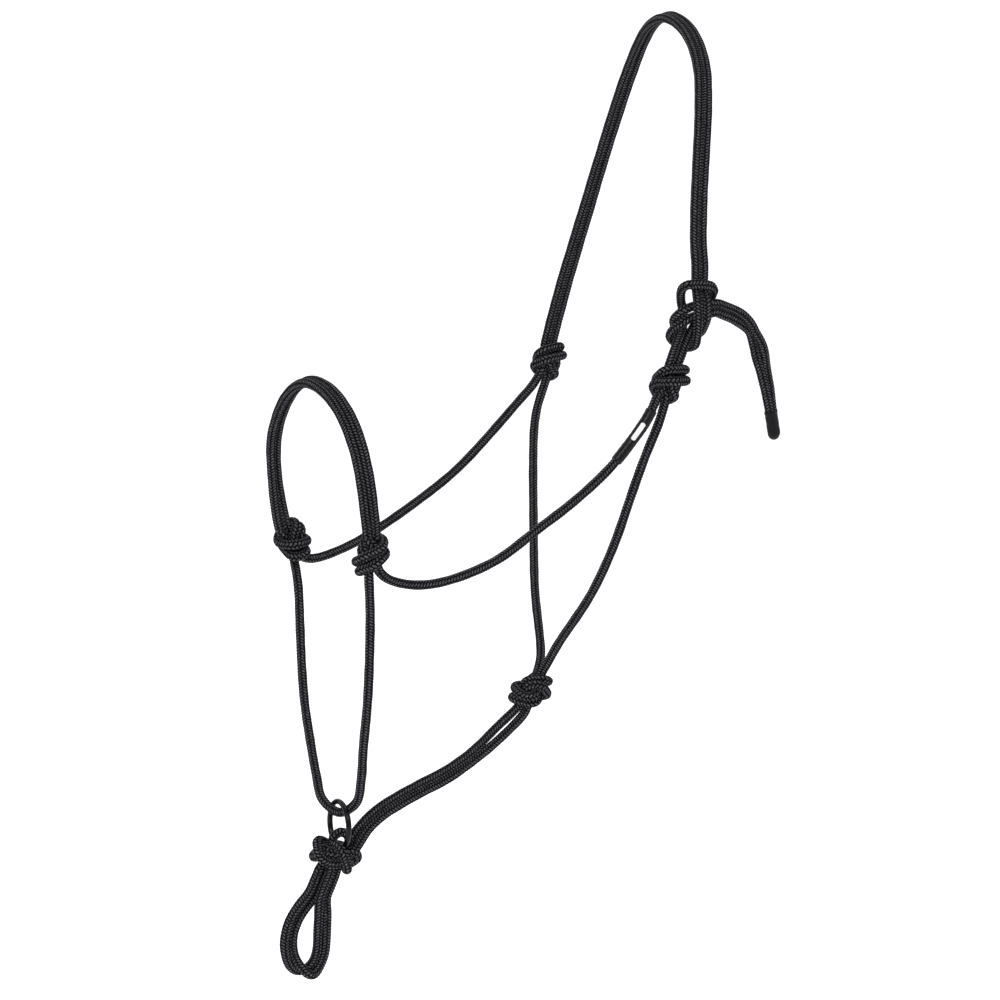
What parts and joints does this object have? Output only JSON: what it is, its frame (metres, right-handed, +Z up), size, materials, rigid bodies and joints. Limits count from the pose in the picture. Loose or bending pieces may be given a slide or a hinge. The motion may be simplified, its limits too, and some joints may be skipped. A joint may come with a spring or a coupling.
{
  "type": "rope halter",
  "caption": "Rope halter tied from braided cord, with knots, a chin ring, a hanging lead loop and a crown tied on the horse's left side.",
  "frame": {"origin": "underside of the crown's highest point, where it rests on the horse's poll, midway between the two sides", "axes": "+Z up, -X towards the horse's nose, +Y the horse's right (far) side, -Y its left (near) side, where the crown ties"},
  "size_m": [0.3391, 0.2178, 0.6675],
  "materials": {
    "rope": "black braided polyester, matte with a slight sheen",
    "ring": "glossy black",
    "label_sleeve": "semi-gloss black shrink tube with a plain white mark",
    "tail_cap": "satin black shrink cap"
  },
  "bodies": {
    "root": {"cheek_knot_far": "rope", "cheek_knot_near": "rope", "cheek_strand_far": "rope", "cheek_strand_near": "rope", "chin_strand": "rope", "crown_strand_front": "rope", "crown_strand_rear": "rope", "eye_loop": "rope", "fiador_knot": "rope", "fiador_strand_lower": "rope", "fiador_strand_upper": "rope", "label_sleeve": "label_sleeve", "nose_knot_far": "rope", "nose_knot_near": "rope", "noseband_strand_front": "rope", "noseband_strand_rear": "rope", "ring_bight": "rope", "throat_knot": "rope", "throat_strand_far": "rope", "throat_strand_near": "rope", "tie_turn_front": "rope", "tie_turn_rear": "rope"},
    "ring": {"chin_ring": "ring"},
    "lead_loop": {"lead_loop_strand_front": "rope", "lead_loop_strand_rear": "rope"},
    "tail": {"tail_strand_front": "rope", "tail_strand_rear": "rope", "tail_cap": "tail_cap"}
  },
  "joints": [
    {"name": "ring_spin", "type": "hinge", "parent": "root", "child": "ring", "pos_m": [-0.2562, 0, -0.554], "axis": [1, 0, 0], "continuous": true},
    {"name": "lead_loop_swing", "type": "hinge", "parent": "root", "child": "lead_loop", "pos_m": [-0.27099, 0, -0.59698], "axis": [0.908, 0, -0.4191], "range_deg": [-30, 30]},
    {"name": "tail_swing", "type": "hinge", "parent": "root", "child": "tail", "pos_m": [-0.0205, -0.098, -0.2003], "axis": [0, 0, 1], "range_deg": [-40, 10]}
  ]
}
